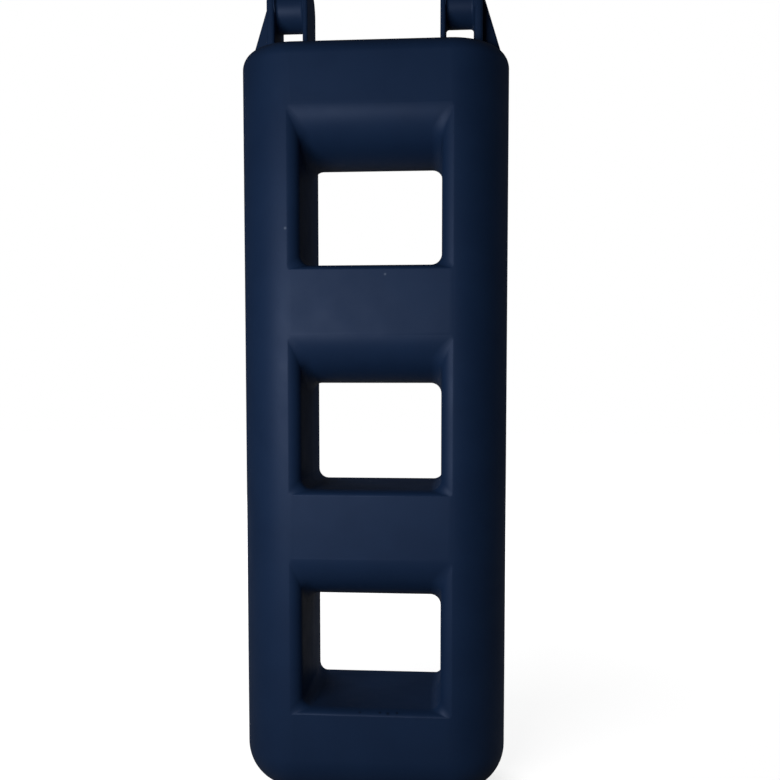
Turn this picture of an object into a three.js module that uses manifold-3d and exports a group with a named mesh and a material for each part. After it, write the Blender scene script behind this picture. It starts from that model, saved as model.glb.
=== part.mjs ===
// Boarding step fender for a boat: one moulded plastic body with three step openings through it and a
// pair of rope ears on top. Millimetres, +Z up, front face towards -Y, origin under the middle of the base.
import * as THREE from "three";
import { mergeVertices } from "three/addons/utils/BufferGeometryUtils.js";
import Module from "manifold-3d";

const wasm = await Module();
wasm.setup();

// Body block.
const bodyWidth = 253;
const bodyThickness = 120;
const planCornerRadius = 55;
const baseEdgeRadius = 42;
const topEdgeRadius = 15;

// Steps: the same opening repeated up the body.
const stepCount = 3;
const stepPitch = 206;
const baseRailHeight = 90;
const topRailHeight = 202;

// One opening, measured from the flat tread it stands on.
const openingHalfWidth = 64.8;
const openingSideRound = 13.6;
const openingLipDepth = 11;
const openingWallDraft = 1.2;
const treadEdgeDrop = 5.5;
const openingClearHeight = 98.8;
const ceilingRoundHeight = 45.7;
const openingCornerRadius = 10;
const openingFaceCornerRadius = 1;

// Rope ears: two plates and a round bar on each side of the top.
const innerEarInnerFace = 62;
const innerEarThickness = 5;
const ropeBarLength = 26.4;
const outerEarThickness = 7.8;
const earDepth = 46;
const earEdgeRadius = 2.2;
const earFootRound = 4;
const ropeBarRadius = 19.6;
const ropeBarEndRound = 3;
const ropeGapHeight = 27;

// The web that props each outer plate.
const gussetThickness = 9;
const gussetFootReach = 20.5;
const gussetFootHeight = 8;
const gussetEdgeRadius = 1.8;

// Worked out from the sizes above.
const halfThickness = bodyThickness / 2;
const bodyHeight = baseRailHeight + (stepCount - 1) * stepPitch + topRailHeight;
const ropeBarHeight = bodyHeight + ropeGapHeight + ropeBarRadius;
const earTop = ropeBarHeight + earDepth / 2;
const earRoot = bodyHeight - topEdgeRadius;
const outerEarInnerFace = innerEarInnerFace + innerEarThickness + ropeBarLength;
const outerEarOuterFace = outerEarInnerFace + outerEarThickness;

// Finish of the plastic.
const plasticColour = 0x1d314f;
const plasticRoughness = 0.5;
const plasticMetalness = 0;

// Facets.
const cornerSteps = 9;
const edgeSteps = 6;
const tunnelStations = 30;
const openingCornerSteps = 5;
const earArcSteps = 10;
const earEdgeSteps = 4;
const barSides = 40;
const weldDistance = 1e-4;

// How far an opening's cut runs past the faces of the body, and how deep one form is sunk into the next.
const cutMargin = 4;
const sink = 1;

const quarterTurn = Math.PI / 2;
const fullTurn = 2 * Math.PI;

// The solid that a closed geometry bounds, with its faces turned outwards.
function solidOf(geometry) {
  geometry.deleteAttribute("normal");
  geometry.deleteAttribute("uv");
  const welded = mergeVertices(geometry, weldDistance);
  const index = welded.getIndex().array;
  const kept = [];
  for (let i = 0; i < index.length; i += 3) {
    const [a, b, c] = index.slice(i, i + 3);
    if (a !== b && b !== c && c !== a) {
      kept.push(a, b, c);
    }
  }
  const build = (list) => new wasm.Manifold(new wasm.Mesh({
    numProp: 3,
    vertProperties: new Float32Array(welded.getAttribute("position").array),
    triVerts: new Uint32Array(list),
  }));
  const solid = build(kept);
  return solid.volume() > 0 ? solid : build(kept.reverse());
}

// Joins a row of outlines, each with the same number of points, into one closed solid.
function loft(outlines) {
  const count = outlines[0].length;
  const middleOf = (outline) => new THREE.Box3().setFromPoints(outline).getCenter(new THREE.Vector3());
  const first = middleOf(outlines[0]);
  const last = middleOf(outlines[outlines.length - 1]);
  const levels = [new Array(count).fill(first), ...outlines, new Array(count).fill(last)];
  const faces = [];
  for (let level = 0; level + 1 < levels.length; level += 1) {
    for (let i = 0; i < count; i += 1) {
      const next = (i + 1) % count;
      const low = level * count;
      const high = low + count;
      faces.push(low + i, low + next, high + next);
      faces.push(low + i, high + next, high + i);
    }
  }
  const geometry = new THREE.BufferGeometry().setFromPoints(levels.flat());
  geometry.setIndex(faces);
  return solidOf(geometry);
}

// A rounded rectangle as points of a closed outline; place(u, v) says where its two directions lie.
function roundedOutline({ left, right, low, high, radius }, steps, place) {
  const round = Math.min(radius, (right - left) / 2, (high - low) / 2);
  const shape = new THREE.Shape();
  shape.absarc(right - round, high - round, round, 0, quarterTurn);
  shape.absarc(left + round, high - round, round, quarterTurn, 2 * quarterTurn);
  shape.absarc(left + round, low + round, round, 2 * quarterTurn, 3 * quarterTurn);
  shape.absarc(right - round, low + round, round, 3 * quarterTurn, fullTurn);
  const corners = shape.curves.filter((curve) => curve.isEllipseCurve);
  return corners.flatMap((corner) => corner.getPoints(steps)).map((point) => place(point.x, point.y));
}

// The shares of a quarter round: how far each step has risen, and how far it has moved sideways.
function quarterRound(steps) {
  return Array.from({ length: steps + 1 }, (_, i) => {
    const angle = (i / steps) * quarterTurn;
    return { rise: 1 - Math.cos(angle), side: 1 - Math.sin(angle) };
  });
}

// The body block: its plan outline swept up, drawn in round at the base and at the top edge.
function bodyBlock() {
  const outlineAt = (height, inset) => roundedOutline(
    {
      left: inset - bodyWidth / 2,
      right: bodyWidth / 2 - inset,
      low: inset - halfThickness,
      high: halfThickness - inset,
      radius: planCornerRadius - inset,
    },
    cornerSteps,
    (u, v) => new THREE.Vector3(u, v, height),
  );
  const base = quarterRound(edgeSteps).map(
    ({ rise, side }) => outlineAt(baseEdgeRadius * rise, baseEdgeRadius * side),
  );
  const top = quarterRound(edgeSteps).map(
    ({ rise, side }) => outlineAt(bodyHeight - topEdgeRadius * side, topEdgeRadius * rise),
  );
  return loft([...base, ...top]);
}

// One step opening: its outline at every depth through the body, from the front face to the back.
function stepOpening(tread) {
  const lip = halfThickness - openingLipDepth;
  const outlineAt = (depth) => {
    const reach = Math.min(Math.abs(depth), halfThickness);
    const flare = Math.max(reach - lip, 0) / openingLipDepth;
    const flareShare = 1 - Math.sqrt(1 - flare ** 2);
    const archShare = 1 - Math.sqrt(1 - (reach / halfThickness) ** 2);
    const drawn = openingWallDraft * (1 - Math.min(reach / lip, 1));
    const side = openingHalfWidth - drawn + openingSideRound * flareShare;
    return roundedOutline(
      {
        left: -side,
        right: side,
        low: tread - treadEdgeDrop * flareShare,
        high: tread + openingClearHeight + ceilingRoundHeight * archShare,
        radius: THREE.MathUtils.lerp(openingCornerRadius, openingFaceCornerRadius, flareShare),
      },
      openingCornerSteps,
      (u, v) => new THREE.Vector3(u, depth, v),
    );
  };
  const depths = [-halfThickness - cutMargin];
  for (let i = 0; i <= tunnelStations; i += 1) {
    depths.push(-halfThickness * Math.cos((i / tunnelStations) * 2 * quarterTurn));
  }
  depths.push(halfThickness + cutMargin);
  return loft(depths.map(outlineAt));
}

// Extrudes an outline with a rounded rim; the rim stays inside the outline and the thickness.
function extrudeRounded(shape, thickness, rim) {
  return new THREE.ExtrudeGeometry(shape, {
    depth: thickness - 2 * rim,
    curveSegments: 2 * earArcSteps,
    bevelEnabled: true,
    bevelThickness: rim,
    bevelSize: rim,
    bevelOffset: -rim,
    bevelSegments: earEdgeSteps,
  }).translate(0, 0, rim);
}

// An ear plate: an upright tab with a half-round top, its rim eased all round.
function earPlate(innerFace, thickness) {
  const shape = new THREE.Shape();
  shape.moveTo(-earDepth / 2, earRoot);
  shape.lineTo(earDepth / 2, earRoot);
  shape.absarc(0, ropeBarHeight, earDepth / 2, 0, 2 * quarterTurn);
  shape.closePath();
  const plate = extrudeRounded(shape, thickness, earEdgeRadius);
  plate.rotateX(quarterTurn);
  plate.rotateZ(quarterTurn);
  return solidOf(plate.translate(innerFace, 0, 0));
}

// The hollow round at the foot of a plate, where it grows out of the top of the body.
function earFoot(innerFace, thickness) {
  const outlineAt = (height, spread) => roundedOutline(
    {
      left: innerFace - spread,
      right: innerFace + thickness + spread,
      low: -earDepth / 2 - spread,
      high: earDepth / 2 + spread,
      radius: earEdgeRadius + spread,
    },
    earEdgeSteps,
    (u, v) => new THREE.Vector3(u, v, height),
  );
  const rings = quarterRound(earEdgeSteps).map(
    ({ rise, side }) => outlineAt(bodyHeight + earFootRound * side, earFootRound * rise),
  );
  return loft([...rings, outlineAt(bodyHeight - sink, earFootRound)]);
}

// The round bar a rope is tied over, with a hollow round where it meets each plate.
function ropeBar() {
  const start = innerEarInnerFace + innerEarThickness;
  const end = start + ropeBarLength;
  const wide = ropeBarRadius + ropeBarEndRound;
  const profile = [new THREE.Vector2(0, start - sink), new THREE.Vector2(wide, start - sink)];
  quarterRound(earEdgeSteps).forEach(({ rise, side }) => {
    profile.push(new THREE.Vector2(wide - ropeBarEndRound * (1 - side), start + ropeBarEndRound * rise));
  });
  quarterRound(earEdgeSteps).forEach(({ rise, side }) => {
    profile.push(new THREE.Vector2(ropeBarRadius + ropeBarEndRound * rise, end - ropeBarEndRound * side));
  });
  profile.push(new THREE.Vector2(wide, end + sink), new THREE.Vector2(0, end + sink));
  const bar = new THREE.LatheGeometry(profile, barSides);
  bar.rotateZ(-quarterTurn);
  return solidOf(bar.translate(0, 0, ropeBarHeight));
}

// The thin sloping web that props the outer plate from outside.
function gusset() {
  const rootInner = outerEarInnerFace + sink;
  const topOuter = outerEarOuterFace - earEdgeRadius;
  const topHeight = earTop - earEdgeRadius;
  const shape = new THREE.Shape();
  shape.moveTo(rootInner, earRoot);
  shape.lineTo(topOuter + gussetFootReach, earRoot);
  shape.lineTo(topOuter + gussetFootReach, bodyHeight + gussetFootHeight);
  shape.lineTo(topOuter, topHeight);
  shape.lineTo(rootInner, topHeight);
  shape.closePath();
  const web = extrudeRounded(shape, gussetThickness, gussetEdgeRadius);
  web.rotateX(quarterTurn);
  return solidOf(web.translate(0, gussetThickness / 2, 0));
}

// Everything that stands on one side of the top; the other side is its mirror image.
function ropeEar() {
  return wasm.Manifold.union([
    earPlate(innerEarInnerFace, innerEarThickness),
    earFoot(innerEarInnerFace, innerEarThickness),
    earPlate(outerEarInnerFace, outerEarThickness),
    earFoot(outerEarInnerFace, outerEarThickness),
    ropeBar(),
    gusset(),
  ]);
}

// The body with its ears, and every step opening cut through it.
function fenderSolid() {
  const ear = ropeEar();
  const openings = Array.from({ length: stepCount }, (_, i) => stepOpening(baseRailHeight + i * stepPitch));
  return bodyBlock().add(ear).add(ear.mirror([1, 0, 0])).subtract(wasm.Manifold.union(openings));
}

// The finished body as a named mesh with its own material.
function toMesh(solid, name) {
  const { numProp, vertProperties, triVerts } = solid.getMesh();
  const places = vertProperties.filter((_, i) => i % numProp < 3);
  const geometry = new THREE.BufferGeometry();
  geometry.setAttribute("position", new THREE.BufferAttribute(places, 3));
  geometry.setIndex(new THREE.BufferAttribute(triVerts, 1));
  const material = new THREE.MeshStandardMaterial({
    color: plasticColour,
    roughness: plasticRoughness,
    metalness: plasticMetalness,
  });
  const node = new THREE.Mesh(geometry, material);
  node.name = name;
  return node;
}

const group = new THREE.Group();
group.add(toMesh(fenderSolid(), "fender_body"));

export default group;
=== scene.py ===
"""Looks of a moulded boarding step fender: body, rope ears, plastic finish, floor, lamps and camera.

Lengths are in metres, +Z is up and the front faces -Y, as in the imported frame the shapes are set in.
"""

import logging
import math
from dataclasses import dataclass, field
from enum import Enum, IntEnum
from typing import Optional, Union

import bmesh
import bpy
from mathutils import Matrix, Vector


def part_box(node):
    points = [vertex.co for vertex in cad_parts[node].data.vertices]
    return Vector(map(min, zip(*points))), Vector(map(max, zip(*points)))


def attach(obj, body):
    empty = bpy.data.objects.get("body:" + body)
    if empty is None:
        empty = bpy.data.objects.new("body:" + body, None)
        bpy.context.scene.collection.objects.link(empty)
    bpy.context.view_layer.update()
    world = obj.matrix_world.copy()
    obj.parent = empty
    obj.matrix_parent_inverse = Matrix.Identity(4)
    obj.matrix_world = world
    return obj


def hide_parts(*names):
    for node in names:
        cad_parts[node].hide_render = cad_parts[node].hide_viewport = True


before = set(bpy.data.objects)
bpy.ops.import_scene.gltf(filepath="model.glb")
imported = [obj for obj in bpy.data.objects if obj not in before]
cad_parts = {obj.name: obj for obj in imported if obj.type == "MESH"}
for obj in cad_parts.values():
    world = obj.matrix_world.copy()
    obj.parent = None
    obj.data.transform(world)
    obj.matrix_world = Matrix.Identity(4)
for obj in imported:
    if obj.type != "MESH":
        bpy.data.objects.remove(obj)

LOG = logging.getLogger("fender")
BODY_NODE = "fender_body"
BODY_GROUP = "root"
MM = 0.001
NEAR = 0.001 * MM
QUARTER_TURN = math.pi / 2
WHITE = (1.0, 1.0, 1.0, 1.0)

# The Mix node's sockets when it mixes colours, by number, because others share their names
MIX_SHARE = 0
MIX_FIRST = 6
MIX_SECOND = 7
MIX_RESULT = 2

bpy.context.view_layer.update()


class Axis(IntEnum):
    """The axes, numbered as a vector's parts are."""

    X = 0
    Y = 1
    Z = 2


class Join(Enum):
    """How one solid is worked into another."""

    UNION = "UNION"
    DIFFERENCE = "DIFFERENCE"


class Lie(Enum):
    """The direction in which a stack of rings is lofted."""

    ALONG_Y = "Y"
    ALONG_Z = "Z"


@dataclass(frozen=True)
class Ring:
    """One rounded rectangle of a loft.

    Attributes:
        at: Where the ring lies along the loft.
        low: Its lowest corner across the loft, as two lengths.
        high: Its highest corner across the loft.
        radius: Its corner radius.
    """

    at: float
    low: tuple[float, float]
    high: tuple[float, float]
    radius: float


def ring_matrix(ring: Ring, lie: Lie) -> Matrix:
    """Places a unit square, drawn flat round the origin, as a ring.

    Args:
        ring: The ring.
        lie: The direction of its loft.

    Returns:
        The matrix that moves the square's points.
    """
    width = ring.high[0] - ring.low[0]
    height = ring.high[1] - ring.low[1]
    middle = ((ring.high[0] + ring.low[0]) / 2, (ring.high[1] + ring.low[1]) / 2)
    grown = Matrix.Diagonal((width, height, 1, 1))
    if lie is Lie.ALONG_Z:
        return Matrix.Translation((middle[0], middle[1], ring.at)) @ grown
    upright = Matrix.Rotation(QUARTER_TURN, 4, "X")
    return Matrix.Translation((middle[0], ring.at, middle[1])) @ upright @ grown


def add_ring(bm: bmesh.types.BMesh, ring: Ring, lie: Lie, steps: int) -> bmesh.types.BMFace:
    """Adds one ring as a flat face.

    Args:
        bm: The mesh it goes into.
        ring: The ring.
        lie: The direction of its loft.
        steps: How many edges round each corner.

    Returns:
        The face.
    """
    square = bmesh.ops.create_grid(bm, x_segments=1, y_segments=1, size=0.5)["verts"]
    bmesh.ops.transform(bm, matrix=ring_matrix(ring, lie), verts=square)
    rounded = bmesh.ops.bevel(
        bm, geom=square, offset=ring.radius, offset_type="OFFSET", segments=steps, profile=0.5,
        affect="VERTICES", clamp_overlap=False, material=-1,
    )
    return rounded["verts"][0].link_faces[0]


def loft(bm: bmesh.types.BMesh, rings: list[Ring], lie: Lie, steps: int) -> None:
    """Adds a closed solid through a row of rings.

    Args:
        bm: The mesh it goes into.
        rings: The rings, in order.
        lie: The direction of the loft.
        steps: How many edges round each corner.
    """
    last: Optional[list[bmesh.types.BMEdge]] = None
    for number, ring in enumerate(rings):
        face = add_ring(bm, ring, lie, steps)
        edges = list(face.edges)
        if 0 < number < len(rings) - 1:
            bmesh.ops.delete(bm, geom=[face], context="FACES_ONLY")
        if last is not None:
            bmesh.ops.bridge_loops(bm, edges=last + edges)
        last = edges


def round_edges(
    bm: bmesh.types.BMesh, edges: list[bmesh.types.BMEdge], radius: float, steps: int
) -> None:
    """Rounds a set of edges.

    Args:
        bm: The mesh.
        edges: The edges.
        radius: The radius.
        steps: How many faces round the bend.
    """
    bmesh.ops.bevel(
        bm, geom=edges, offset=radius, offset_type="OFFSET", segments=steps, profile=0.5,
        affect="EDGES", clamp_overlap=False, material=-1,
    )


def edges_in_plane(bm: bmesh.types.BMesh, axis: Axis, place: float) -> list[bmesh.types.BMEdge]:
    """Finds the edges that lie in one plane across an axis.

    Args:
        bm: The mesh.
        axis: The axis.
        place: The plane's place on it.

    Returns:
        The edges.
    """
    return [e for e in bm.edges if all(abs(v.co[axis] - place) < NEAR for v in e.verts)]


def add_box(bm: bmesh.types.BMesh, low: Vector, high: Vector) -> None:
    """Adds a plain block between two corners, ready for its edges to be worked.

    Args:
        bm: The mesh it goes into.
        low: Its lowest corner.
        high: Its highest corner.
    """
    verts = bmesh.ops.create_cube(bm, size=1)["verts"]
    bmesh.ops.scale(bm, vec=high - low, verts=verts)
    bmesh.ops.translate(bm, vec=(high + low) / 2, verts=verts)


def as_object(bm: bmesh.types.BMesh, name: str) -> bpy.types.Object:
    """Turns a finished bmesh into an object at the origin.

    Args:
        bm: The mesh, which is freed.
        name: The object's name.

    Returns:
        The object.
    """
    bmesh.ops.recalc_face_normals(bm, faces=bm.faces)
    mesh = bpy.data.meshes.new(name)
    bm.to_mesh(mesh)
    bm.free()
    made = bpy.data.objects.new(name, mesh)
    bpy.context.scene.collection.objects.link(made)
    return made


def work_in(base: bpy.types.Object, tools: list[bpy.types.Object], how: Join) -> None:
    """Joins solids to another one, or cuts them out of it, and removes them.

    Args:
        base: The solid that stays.
        tools: The solids that are worked in.
        how: Whether they are joined or cut.
    """
    for tool in tools:
        step = base.modifiers.new(tool.name, "BOOLEAN")
        step.operation = how.value
        step.solver = "MANIFOLD"
        step.object = tool
    graph = bpy.context.evaluated_depsgraph_get()
    worked = bpy.data.meshes.new_from_object(base.evaluated_get(graph))
    base.modifiers.clear()
    base.data = worked
    for tool in tools:
        bpy.data.objects.remove(tool)


@dataclass
class BodyBlock:
    """The hollow-moulded block with its step openings.

    Attributes:
        corner: Radius of the upright corners.
        base_edge: Radius of the edge round the base.
        top_edge: Radius of the edge round the top.
        base_rail: Height of the lowest tread.
        top_rail: From the highest tread up to the block's top.
        step_count: How many openings there are.
        pitch: Rise from one tread to the next.
        opening_half: Half the width of an opening, behind its lip.
        side_round: How far the lip rounds outwards at each side.
        lip_depth: How deep the rounded lip reaches in.
        wall_draft: How much an opening narrows towards the middle of the thickness.
        tread_drop: How far a tread rounds down at its lip.
        clear_height: Height of an opening at its middle.
        ceiling_round: How far the half-round ceiling rises at the faces.
        opening_corner: Corner radius of an opening inside.
        face_corner: Corner radius of an opening at the faces.
        past: How far the cutter runs past the faces.
        corner_steps: Faces round an upright corner.
        edge_steps: Faces round the base and top edges.
        stations: Outlines along an opening.
        opening_steps: Faces round the corners of an opening.
        low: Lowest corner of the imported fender.
        high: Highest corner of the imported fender.
    """

    corner: float = 55 * MM
    base_edge: float = 42 * MM
    top_edge: float = 15 * MM
    base_rail: float = 90 * MM
    top_rail: float = 202 * MM
    step_count: int = 3
    pitch: float = 206 * MM
    opening_half: float = 64.8 * MM
    side_round: float = 13.6 * MM
    lip_depth: float = 11 * MM
    wall_draft: float = 1.2 * MM
    tread_drop: float = 5.5 * MM
    clear_height: float = 98.8 * MM
    ceiling_round: float = 45.7 * MM
    opening_corner: float = 10 * MM
    face_corner: float = 1 * MM
    past: float = 4 * MM
    corner_steps: int = 28
    edge_steps: int = 18
    stations: int = 56
    opening_steps: int = 8
    low: Vector = field(default_factory=lambda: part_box(BODY_NODE)[0])
    high: Vector = field(default_factory=lambda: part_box(BODY_NODE)[1])

    @property
    def height(self) -> float:
        """The block's height, without the ears."""
        return self.base_rail + (self.step_count - 1) * self.pitch + self.top_rail

    @property
    def half_thick(self) -> float:
        """Half of the block's thickness."""
        return self.high.y

    def build(self) -> bpy.types.Object:
        """Makes the block and cuts its openings.

        Returns:
            The block.
        """
        bm = bmesh.new()
        add_box(bm, self.low, Vector((self.high.x, self.high.y, self.height)))
        upright = [e for e in bm.edges if abs(e.verts[0].co.z - e.verts[1].co.z) > self.height / 2]
        round_edges(bm, upright, self.corner, self.corner_steps)
        round_edges(bm, edges_in_plane(bm, Axis.Z, self.height), self.top_edge, self.edge_steps)
        round_edges(bm, edges_in_plane(bm, Axis.Z, 0), self.base_edge, self.edge_steps)
        block = as_object(bm, "fender_moulding")
        work_in(block, [self.openings()], Join.DIFFERENCE)
        return block

    def openings(self) -> bpy.types.Object:
        """Makes the solid that is cut away: one opening, repeated up the block.

        Returns:
            The cutter.
        """
        bm = bmesh.new()
        rings = [self.ring_at(-self.half_thick - self.past)]
        for i in range(self.stations + 1):
            rings.append(self.ring_at(-self.half_thick * math.cos(math.pi * i / self.stations)))
        rings.append(self.ring_at(self.half_thick + self.past))
        loft(bm, rings, Lie.ALONG_Y, self.opening_steps)
        first = list(bm.verts) + list(bm.edges) + list(bm.faces)
        for step in range(1, self.step_count):
            copy = bmesh.ops.duplicate(bm, geom=first)["geom"]
            verts = [part for part in copy if isinstance(part, bmesh.types.BMVert)]
            bmesh.ops.translate(bm, vec=(0, 0, step * self.pitch), verts=verts)
        return as_object(bm, "step_openings")

    def ring_at(self, depth: float) -> Ring:
        """Works out the lowest opening's outline at one depth.

        Args:
            depth: The place through the thickness.

        Returns:
            The ring.
        """
        half = self.half_thick
        lip = half - self.lip_depth
        reach = min(abs(depth), half)
        flare = max(reach - lip, 0) / self.lip_depth
        share = 1 - math.sqrt(max(1 - flare * flare, 0))
        arch = 1 - math.sqrt(max(1 - (reach / half) ** 2, 0))
        side = self.opening_half - self.wall_draft * (1 - min(reach / lip, 1)) + self.side_round * share
        tread = self.base_rail - self.tread_drop * share
        ceiling = self.base_rail + self.clear_height + self.ceiling_round * arch
        radius = self.opening_corner + (self.face_corner - self.opening_corner) * share
        return Ring(depth, (-side, tread), (side, ceiling), radius)


@dataclass
class RopeEar:
    """One pair of upright plates with a round bar between them and a prop outside, on the block's top.

    Attributes:
        top: Height of the block's top.
        inner_face: Where the inner plate starts across the width.
        inner_thick: Thickness of the inner plate.
        bar_length: Clear length of the bar.
        outer_thick: Thickness of the outer plate.
        depth: Depth of both plates.
        bar_radius: Radius of the bar.
        rope_gap: Height of the gap under the bar.
        prop_thick: Thickness of the prop.
        prop_reach: How far the prop's foot stands out.
        prop_foot: Height of the prop's upright foot.
        root: How deep the plates and the prop reach down into the block.
        foot_root: How deep the plates' hollow-cornered feet reach down into it.
        foot_fillet: Radius of the hollow round at a plate's foot.
        bar_fillet: Radius of the hollow round at the bar's ends.
        inner_edge: Radius of the inner plate's rim.
        outer_edge: Radius of the outer plate's rim.
        prop_edge: Radius of the prop's rim.
        hair: The sliver that keeps two faces from falling on one another.
        sink: How deep one solid is sunk into the next.
        arc_steps: Faces round each half of a plate's crown.
        edge_steps: Faces round the rims and fillets.
        bar_steps: Faces round the bar.
    """

    top: float
    inner_face: float = 62 * MM
    inner_thick: float = 5 * MM
    bar_length: float = 26.4 * MM
    outer_thick: float = 7.8 * MM
    depth: float = 46 * MM
    bar_radius: float = 19.6 * MM
    rope_gap: float = 27 * MM
    prop_thick: float = 9 * MM
    prop_reach: float = 20.5 * MM
    prop_foot: float = 1.5 * MM
    root: float = 15 * MM
    foot_root: float = 2 * MM
    foot_fillet: float = 4 * MM
    bar_fillet: float = 3 * MM
    inner_edge: float = 2.2 * MM
    outer_edge: float = 3 * MM
    prop_edge: float = 2.2 * MM
    hair: float = 0.05 * MM
    sink: float = 1 * MM
    arc_steps: int = 32
    edge_steps: int = 6
    bar_steps: int = 72

    @property
    def bar_height(self) -> float:
        """The height of the bar's middle line."""
        return self.top + self.rope_gap + self.bar_radius

    @property
    def outer_face(self) -> float:
        """Where the outer plate starts."""
        return self.inner_face + self.inner_thick + self.bar_length

    def build(self) -> bpy.types.Object:
        """Makes both ears.

        Returns:
            The right ear and its mirror image, as one object.
        """
        ear = self.plate(self.inner_face, self.inner_thick, self.inner_edge)
        others = [
            self.plate(self.outer_face, self.outer_thick, self.outer_edge),
            self.foot(self.inner_face, self.inner_thick, self.inner_edge),
            self.foot(self.outer_face, self.outer_thick, self.outer_edge),
            self.bar(),
            self.prop(),
        ]
        work_in(ear, others, Join.UNION)
        bm = bmesh.new()
        bm.from_mesh(ear.data)
        bpy.data.objects.remove(ear)
        whole = list(bm.verts) + list(bm.edges) + list(bm.faces)
        bmesh.ops.mirror(bm, geom=whole, axis="X", merge_dist=-1)
        return as_object(bm, "rope_ears")

    def plate(self, face: float, thick: float, edge: float) -> bpy.types.Object:
        """Makes one plate with a half-round top and an eased rim.

        Args:
            face: Where it starts across the width.
            thick: Its thickness.
            edge: The radius of its rim.

        Returns:
            The plate.
        """
        half = self.depth / 2
        crown = self.bar_height + half
        bm = bmesh.new()
        add_box(bm, Vector((face, -half, self.top - self.root)), Vector((face + thick, half, crown)))
        crest = [e for e in edges_in_plane(bm, Axis.Z, crown) if e.calc_length() < half]
        round_edges(bm, crest, half - self.hair, self.arc_steps)
        rim = edges_in_plane(bm, Axis.X, face) + edges_in_plane(bm, Axis.X, face + thick)
        foot = set(edges_in_plane(bm, Axis.Z, self.top - self.root))
        round_edges(bm, [e for e in rim if e not in foot], edge, self.edge_steps)
        return as_object(bm, "ear_plate")

    def foot(self, face: float, thick: float, edge: float) -> bpy.types.Object:
        """Makes the hollow-cornered foot that blends a plate into the block.

        Args:
            face: Where the plate starts.
            thick: Its thickness.
            edge: The radius of its rim.

        Returns:
            The foot.
        """
        half = self.depth / 2
        rings = []
        for i in range(self.edge_steps + 1):
            turn = QUARTER_TURN * i / self.edge_steps
            out = self.foot_fillet * (1 - math.cos(turn)) - self.hair
            rise = self.foot_fillet * (1 - math.sin(turn))
            low = (face - out, -half - out)
            high = (face + thick + out, half + out)
            rings.append(Ring(self.top + rise, low, high, edge + out))
        last = rings[-1]
        rings.append(Ring(self.top - self.foot_root, last.low, last.high, last.radius))
        bm = bmesh.new()
        loft(bm, rings, Lie.ALONG_Z, self.edge_steps)
        return as_object(bm, "ear_foot")

    def bar(self) -> bpy.types.Object:
        """Makes the round bar, with a small fillet where it meets each plate.

        Returns:
            The bar.
        """
        start = self.inner_face + self.inner_thick
        end = self.outer_face
        wide = self.bar_radius + self.bar_fillet
        bm = bmesh.new()
        first = bm.verts.new((start - self.sink, 0, 0))
        first_rim = bm.verts.new((start - self.sink, 0, wide))
        fall = self.fillet_arc(bm, Vector((start, 0, wide)), Vector((start + self.bar_fillet, 0, wide)))
        neck = Vector((end - self.bar_fillet, 0, self.bar_radius))
        rise = self.fillet_arc(bm, neck, Vector((end - self.bar_fillet, 0, wide)))
        last_rim = bm.verts.new((end + self.sink, 0, wide))
        last = bm.verts.new((end + self.sink, 0, 0))
        straights = [
            (first, first_rim), (first_rim, fall[0]), (fall[-1], rise[0]), (rise[-1], last_rim),
            (last_rim, last),
        ]
        for ends in straights:
            bm.edges.new(ends)
        bmesh.ops.spin(
            bm, geom=list(bm.verts) + list(bm.edges), cent=(0, 0, 0), axis=(1, 0, 0), dvec=(0, 0, 0),
            angle=math.tau, steps=self.bar_steps, use_merge=True, use_duplicate=False,
        )
        bmesh.ops.remove_doubles(bm, verts=bm.verts, dist=NEAR)
        bmesh.ops.translate(bm, vec=(0, 0, self.bar_height), verts=bm.verts)
        return as_object(bm, "rope_bar")

    def fillet_arc(
        self, bm: bmesh.types.BMesh, first: Vector, middle: Vector
    ) -> list[bmesh.types.BMVert]:
        """Draws a quarter circle from a point, anticlockwise as seen from the front.

        Args:
            bm: The mesh it is drawn in.
            first: Its first point.
            middle: Its centre.

        Returns:
            Its points, in order.
        """
        start = bm.verts.new(first)
        before = set(bm.verts)
        bmesh.ops.spin(
            bm, geom=[start], cent=middle, axis=(0, -1, 0), dvec=(0, 0, 0), angle=QUARTER_TURN,
            steps=self.edge_steps, use_merge=False, use_duplicate=False,
        )
        added = [v for v in bm.verts if v not in before]
        order = sorted(added, key=lambda v: (v.co - first).length)
        return [start] + order

    def prop(self) -> bpy.types.Object:
        """Makes the thin sloping web that props the outer plate from outside.

        Returns:
            The web.
        """
        inside = self.outer_face + self.sink
        shoulder = self.outer_face + self.outer_thick - self.inner_edge
        reach = shoulder + self.prop_reach
        crown = self.bar_height + self.depth / 2 - self.inner_edge
        half = self.prop_thick / 2
        base = self.top - self.root
        foot = self.top + self.prop_foot
        outline = [(inside, base), (reach, base), (reach, foot), (shoulder, crown), (inside, crown)]
        bm = bmesh.new()
        face = bm.faces.new([bm.verts.new((x, -half, z)) for x, z in outline])
        drawn = bmesh.ops.extrude_face_region(bm, geom=[face])["geom"]
        moved = [part for part in drawn if isinstance(part, bmesh.types.BMVert)]
        bmesh.ops.translate(bm, vec=(0, self.prop_thick, 0), verts=moved)
        slope = [
            e for side in (-half, half) for e in edges_in_plane(bm, Axis.Y, side)
            if all(v.co.x > inside + self.hair for v in e.verts)
        ]
        round_edges(bm, slope, self.prop_edge, self.edge_steps)
        return as_object(bm, "ear_prop")


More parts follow.
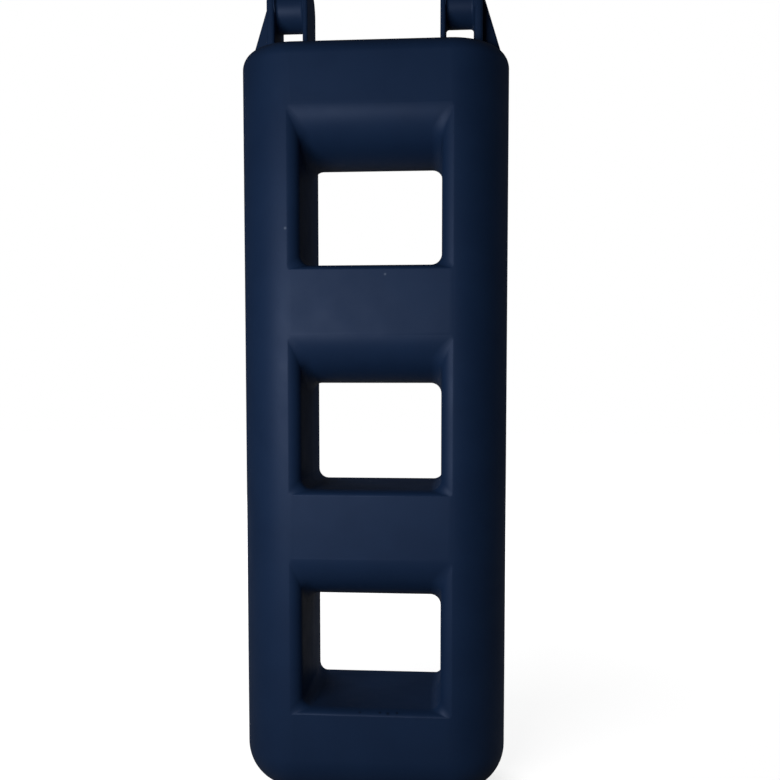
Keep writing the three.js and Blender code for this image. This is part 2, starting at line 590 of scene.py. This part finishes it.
class Value:
    """A number in a shader. Arithmetic on it adds Math nodes."""

    def __init__(self, graph: "Graph", socket: bpy.types.NodeSocket) -> None:
        """Wraps an output socket of a graph."""
        self.graph = graph
        self.socket = socket

    def math(self, operation: str, *others: "Number") -> "Value":
        """Adds one Math node.

        Args:
            operation: Its operation.
            others: Its further values.

        Returns:
            The result.
        """
        inputs = dict(enumerate([self, *others]))
        made = self.graph.node("ShaderNodeMath", {"operation": operation}, inputs)
        return Value(self.graph, made.outputs[0])

    def __add__(self, other: "Number") -> "Value":
        """Adds."""
        return self.math("ADD", other)

    __radd__ = __add__

    def __sub__(self, other: "Number") -> "Value":
        """Takes another away from this one."""
        return self.math("SUBTRACT", other)

    def __rsub__(self, other: "Number") -> "Value":
        """Takes this one away from another."""
        return (self * -1).math("ADD", other)

    def __mul__(self, other: "Number") -> "Value":
        """Multiplies."""
        return self.math("MULTIPLY", other)

    __rmul__ = __mul__

    def fade(self, start: float, end: float) -> "Value":
        """Rises smoothly from 0 at start to 1 at end, or falls where end is below start.

        Args:
            start: The value that gives 0.
            end: The value that gives 1.

        Returns:
            The share.
        """
        settings = {"interpolation_type": "SMOOTHSTEP", "clamp": True}
        ends = (start, end, 0.0, 1.0) if start < end else (end, start, 1.0, 0.0)
        made = self.graph.node("ShaderNodeMapRange", settings, dict(enumerate([self, *ends])))
        return Value(self.graph, made.outputs[0])


Number = Union[Value, float, int]
Colour = Union[tuple[float, float, float, float], bpy.types.NodeSocket]
Settings = dict[str, object]
Inputs = dict[Union[int, str], object]


@dataclass(frozen=True)
class Grain:
    """How fine a noise is.

    Attributes:
        scale: Patches or dimples to a metre.
        layers: Finer layers within it.
    """

    scale: float
    layers: float


class Graph:
    """A node tree that is written as expressions."""

    def __init__(self, tree: bpy.types.NodeTree) -> None:
        """Empties a node tree to start from."""
        self.tree = tree
        tree.nodes.clear()

    def node(
        self, kind: str, settings: Optional[Settings] = None, inputs: Optional[Inputs] = None
    ) -> bpy.types.Node:
        """Adds a node.

        Args:
            kind: Its type.
            settings: Its own properties, which are set first.
            inputs: Values or links for its sockets, by name or number.

        Returns:
            The node.
        """
        made = self.tree.nodes.new(kind)
        for name, setting in (settings or {}).items():
            setattr(made, name, setting)
        for name, given in (inputs or {}).items():
            if isinstance(given, Value):
                given = given.socket
            if isinstance(given, bpy.types.NodeSocket):
                self.tree.links.new(given, made.inputs[name])
            else:
                made.inputs[name].default_value = given
        return made

    def noise(self, place: bpy.types.NodeSocket, grain: Grain) -> Value:
        """Adds a Noise texture.

        Args:
            place: The coordinates.
            grain: How fine it is.

        Returns:
            The noise, from 0 to 1.
        """
        inputs = {"Vector": place, "Scale": grain.scale, "Detail": grain.layers}
        return Value(self, self.node("ShaderNodeTexNoise", {}, inputs).outputs[0])

    def distance(self, place: bpy.types.NodeSocket, point: tuple[float, float, float]) -> Value:
        """Measures how far a place is from a point.

        Args:
            place: The coordinates.
            point: The point.

        Returns:
            The distance.
        """
        made = self.node("ShaderNodeVectorMath", {"operation": "DISTANCE"}, {0: place, 1: point})
        return Value(self, made.outputs["Value"])

    def mix(self, share: Number, first: Colour, second: Colour) -> bpy.types.NodeSocket:
        """Mixes two colours.

        Args:
            share: How much of the second.
            first: The first colour.
            second: The second colour.

        Returns:
            The mixed colour.
        """
        inputs = {MIX_SHARE: share, MIX_FIRST: first, MIX_SECOND: second}
        return self.node("ShaderNodeMix", {"data_type": "RGBA"}, inputs).outputs[MIX_RESULT]


@dataclass(frozen=True)
class Speck:
    """A tiny round mark in the surface.

    Attributes:
        place: Where it is.
        size: Its radius.
    """

    place: tuple[float, float, float]
    size: float


@dataclass(frozen=True)
class MouldedPlastic:
    """Navy blown plastic, satin, with a faint mottle, orange peel and slow waves left by the mould.

    Attributes:
        colour: The plastic's colour.
        deep: The darker tone it is mottled with.
        pale: Colour of the pale specks.
        dark: Colour of the dark nicks.
        roughness: How rough the surface is on the whole.
        roughness_swing: How much that varies.
        shine: How strong its reflections are.
        sheen: The cool tint of those reflections.
        mottle: Grain of the mottle.
        mottle_range: The part of its noise over which the mottle fades.
        patches: Grain of the rougher and smoother patches.
        peel: Grain of the orange peel.
        peel_height: Height of the orange peel.
        waves: Grain of the slow waves.
        wave_height: Height of the slow waves.
        relief: How much of that height is felt.
        bend: Index of refraction.
        specks: The pale specks.
        nicks: The dark nicks on the lowest tread's lip.
    """

    colour: tuple[float, float, float, float] = (0.0112, 0.0298, 0.0820, 1.0)
    deep: tuple[float, float, float, float] = (0.0101, 0.0271, 0.0755, 1.0)
    pale: tuple[float, float, float, float] = (0.12, 0.16, 0.24, 1.0)
    dark: tuple[float, float, float, float] = (0.004, 0.009, 0.025, 1.0)
    roughness: float = 0.5
    roughness_swing: float = 0.07
    shine: float = 0.28
    sheen: tuple[float, float, float, float] = (0.56, 0.68, 1.0, 1.0)
    mottle: Grain = Grain(scale=22.0, layers=4.0)
    mottle_range: tuple[float, float] = (0.35, 0.65)
    patches: Grain = Grain(scale=45.0, layers=3.0)
    peel: Grain = Grain(scale=900.0, layers=2.0)
    peel_height: float = 0.03 * MM
    waves: Grain = Grain(scale=16.0, layers=1.0)
    wave_height: float = 0.5 * MM
    relief: float = 0.6
    bend: float = 1.5
    specks: tuple[Speck, ...] = (
        Speck((-76.8 * MM, -59.8 * MM, 534.5 * MM), 1.9 * MM),
        Speck((14 * MM, -60 * MM, 492.5 * MM), 1.6 * MM),
    )
    nicks: tuple[Speck, ...] = (
        Speck((-9.8 * MM, -57 * MM, 87.2 * MM), 2.4 * MM),
        Speck((8.9 * MM, -57 * MM, 87.7 * MM), 2.2 * MM),
        Speck((16.4 * MM, -57.5 * MM, 87.2 * MM), 2.7 * MM),
        Speck((24.8 * MM, -57 * MM, 88 * MM), 2.0 * MM),
    )

    def material(self) -> bpy.types.Material:
        """Makes the material.

        Returns:
            The material.
        """
        made = bpy.data.materials.new("moulded_plastic")
        made.use_nodes = True
        graph = Graph(made.node_tree)
        place = graph.node("ShaderNodeTexCoord").outputs["Object"]
        mottle = graph.noise(place, self.mottle).fade(*self.mottle_range)
        colour = graph.mix(mottle, self.colour, self.deep)
        colour = graph.mix(self.mark(graph, place, self.specks), colour, self.pale)
        colour = graph.mix(self.mark(graph, place, self.nicks), colour, self.dark)
        swing = (graph.noise(place, self.patches) - 0.5) * (2 * self.roughness_swing)
        peel = graph.noise(place, self.peel) * self.peel_height
        height = peel + graph.noise(place, self.waves) * self.wave_height
        felt = {"Strength": self.relief, "Distance": 1.0, "Height": height}
        bump = graph.node("ShaderNodeBump", {}, felt)
        shader = graph.node("ShaderNodeBsdfPrincipled", {}, {
            "Base Color": colour,
            "Roughness": swing + self.roughness,
            "IOR": self.bend,
            "Specular IOR Level": self.shine,
            "Specular Tint": self.sheen,
            "Normal": bump.outputs[0],
        })
        graph.node("ShaderNodeOutputMaterial", {}, {"Surface": shader.outputs[0]})
        return made

    def mark(self, graph: Graph, place: bpy.types.NodeSocket, specks: tuple[Speck, ...]) -> Value:
        """Marks small spots.

        Args:
            graph: The material's graph.
            place: The coordinates.
            specks: The spots.

        Returns:
            1 in the middle of a spot, fading to 0 at its edge, and 0 elsewhere.
        """
        marks = [graph.distance(place, speck.place).fade(speck.size, 0.0) for speck in specks]
        return sum(marks[1:], marks[0])


@dataclass
class StepFender:
    """The whole fender, one moulding.

    Attributes:
        block: The body with its step openings.
        finish: What it is made of.
        crease: The angle above which an edge stays sharp.
    """

    block: BodyBlock
    finish: MouldedPlastic
    crease: float = math.radians(35)

    def build(self) -> bpy.types.Object:
        """Makes the block, joins the ears to it and smooths it.

        Returns:
            The finished piece.
        """
        piece = self.block.build()
        work_in(piece, [RopeEar(self.block.height).build()], Join.UNION)
        piece.data.shade_smooth()
        piece.data.set_sharp_from_angle(angle=self.crease)
        even = piece.modifiers.new("even_normals", "WEIGHTED_NORMAL")
        even.keep_sharp = True
        return piece

    def dress(self, piece: bpy.types.Object) -> None:
        """Gives the piece its finish and its place in the frame.

        Args:
            piece: The finished piece.
        """
        piece.data.materials.clear()
        piece.data.materials.append(self.finish.material())
        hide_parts(BODY_NODE)
        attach(piece, BODY_GROUP)


@dataclass(frozen=True)
class Lamp:
    """One soft lamp.

    Attributes:
        name: Its name.
        place: Where it stands.
        aim: What it points at.
        power: Its power in watts.
        size: Its width and height.
        shows: Whether glossy surfaces mirror it.
    """

    name: str
    place: tuple[float, float, float]
    aim: tuple[float, float, float]
    power: float
    size: tuple[float, float]
    shows: bool = True

    def build(self) -> None:
        """Adds the lamp to the scene."""
        data = bpy.data.lights.new(self.name, "AREA")
        data.shape = "RECTANGLE"
        data.size, data.size_y = self.size
        data.energy = self.power
        lamp = bpy.data.objects.new(self.name, data)
        lamp.location = self.place
        towards = Vector(self.aim) - Vector(self.place)
        lamp.rotation_euler = towards.to_track_quat("-Z", "Y").to_euler()
        lamp.visible_glossy = self.shows
        bpy.context.scene.collection.objects.link(lamp)


@dataclass(frozen=True)
class Viewpoint:
    """Where the photograph was taken from, and how.

    Attributes:
        place: Where the camera stands.
        yaw: How far it is turned to the left.
        pitch: How far it looks up.
        roll: How far it is tilted sideways.
        image_width: Width of the picture in pixels.
        focal: Focal length in pixels.
        offset: How far the picture's middle is moved to the right and down, in pixels.
        sensor: Width of the sensor in millimetres.
    """

    place: tuple[float, float, float] = (0.08229, -0.82095, 0.39311)
    yaw: float = 0.067
    pitch: float = -0.057
    roll: float = -0.001
    image_width: float = 780.0
    focal: float = 840.87
    offset: tuple[float, float] = (13.98, 42.65)
    sensor: float = 36.0

    def build(self) -> None:
        """Adds the camera and makes it the scene's own."""
        data = bpy.data.cameras.new("camera")
        data.sensor_width = self.sensor
        data.lens = self.focal * self.sensor / self.image_width
        data.shift_x = -self.offset[0] / self.image_width
        data.shift_y = self.offset[1] / self.image_width
        eye = bpy.data.objects.new("camera", data)
        turn = Matrix.Rotation(self.yaw, 4, "Z") @ Matrix.Rotation(self.pitch, 4, "X")
        upright = Matrix.Rotation(self.roll, 4, "Y") @ Matrix.Rotation(QUARTER_TURN, 4, "X")
        eye.matrix_world = Matrix.Translation(self.place) @ turn @ upright
        bpy.context.scene.collection.objects.link(eye)
        bpy.context.scene.camera = eye


@dataclass(frozen=True)
class Surroundings:
    """The pale floor and the even light of the room.

    Attributes:
        floor_half: Half the floor's width.
        bounce: Colour of the floor as it lights the fender.
        shadow_tone: Colour of the floor as the shadow shows on it.
        near_glow: How bright the floor looks beside the fender before any lamp.
        fade: From how far to how far that rises to plain white.
        air: Strength of the even light.
        gloss_share: How much of the plain white shows in reflections.
    """

    floor_half: float = 6.0
    bounce: tuple[float, float, float, float] = (0.2, 0.2, 0.2, 1.0)
    shadow_tone: tuple[float, float, float, float] = (0.8, 0.8, 0.8, 1.0)
    near_glow: float = 0.76
    fade: tuple[float, float] = (0.3, 1.5)
    air: float = 0.009
    gloss_share: float = 0.03

    def build(self) -> None:
        """Lays the floor and fills the air."""
        self.lay_floor()
        self.fill_air()

    def white_seen(self, graph: Graph) -> Value:
        """Works out how much of the backdrop's plain white a ray sees.

        Args:
            graph: The graph it is worked out in.

        Returns:
            The share.
        """
        rays = graph.node("ShaderNodeLightPath").outputs
        straight = Value(graph, rays["Is Camera Ray"])
        through = Value(graph, rays["Is Transmission Ray"])
        mirrored = Value(graph, rays["Is Glossy Ray"])
        return straight.math("MAXIMUM", through) + mirrored * self.gloss_share

    def lay_floor(self) -> None:
        """Lays the floor, pale by itself and plain white with a soft shadow for the camera."""
        bm = bmesh.new()
        bmesh.ops.create_grid(bm, x_segments=1, y_segments=1, size=self.floor_half)
        ground = as_object(bm, "floor")
        made = bpy.data.materials.new("floor_pale")
        made.use_nodes = True
        graph = Graph(made.node_tree)
        place = graph.node("ShaderNodeTexCoord").outputs["Object"]
        away = graph.distance(place, (0.0, 0.0, 0.0)).fade(*self.fade)
        level = away * (1 - self.near_glow) + self.near_glow
        matt = graph.node("ShaderNodeBsdfDiffuse", {}, {"Color": self.bounce})
        shaded = graph.node("ShaderNodeBsdfDiffuse", {}, {"Color": self.shadow_tone})
        glow = graph.node("ShaderNodeEmission", {}, {"Color": WHITE, "Strength": level})
        seen = graph.node("ShaderNodeAddShader", {}, {0: shaded.outputs[0], 1: glow.outputs[0]})
        shares = {0: self.white_seen(graph), 1: matt.outputs[0], 2: seen.outputs[0]}
        mixed = graph.node("ShaderNodeMixShader", {}, shares)
        graph.node("ShaderNodeOutputMaterial", {}, {"Surface": mixed.outputs[0]})
        ground.data.materials.append(made)

    def fill_air(self) -> None:
        """Gives the air a low even light, and a white look to the camera."""
        sky = bpy.data.worlds.new("studio_air")
        sky.use_nodes = True
        graph = Graph(sky.node_tree)
        level = self.white_seen(graph) * (1 - self.air) + self.air
        air = graph.node("ShaderNodeBackground", {}, {"Color": WHITE, "Strength": level})
        graph.node("ShaderNodeOutputWorld", {}, {"Surface": air.outputs[0]})
        bpy.context.scene.world = sky


@dataclass(frozen=True)
class Studio:
    """Everything round the fender.

    Attributes:
        surroundings: The floor and the air.
        viewpoint: The camera.
        lamps: The lamps.
    """

    surroundings: Surroundings = Surroundings()
    viewpoint: Viewpoint = Viewpoint()
    lamps: tuple[Lamp, ...] = (
        Lamp("key", (-0.36, -0.82, 0.44), (0.0, 0.0, 0.42), 4.6, (0.62, 0.24)),
        Lamp("rear_left", (-1.1, 1.6, 0.9), (0.0, 0.0, 0.4), 17.0, (1.2, 1.2), shows=False),
        Lamp("rear_right", (1.6, 0.9, 0.9), (0.0, 0.0, 0.4), 6.0, (1.2, 1.2), shows=False),
    )

    def build(self) -> None:
        """Sets up the studio."""
        self.surroundings.build()
        for lamp in self.lamps:
            lamp.build()
        self.viewpoint.build()
        bpy.context.scene.view_settings.view_transform = "Standard"


def main() -> None:
    """Builds and dresses everything, and reports each piece."""
    logging.basicConfig(level=logging.INFO, format="%(name)s: %(message)s")
    Studio().build()
    fender = StepFender(BodyBlock(), MouldedPlastic())
    piece = fender.build()
    fender.dress(piece)
    LOG.info("%s has %d faces", piece.name, len(piece.data.polygons))


if __name__ == "__main__":
    main()
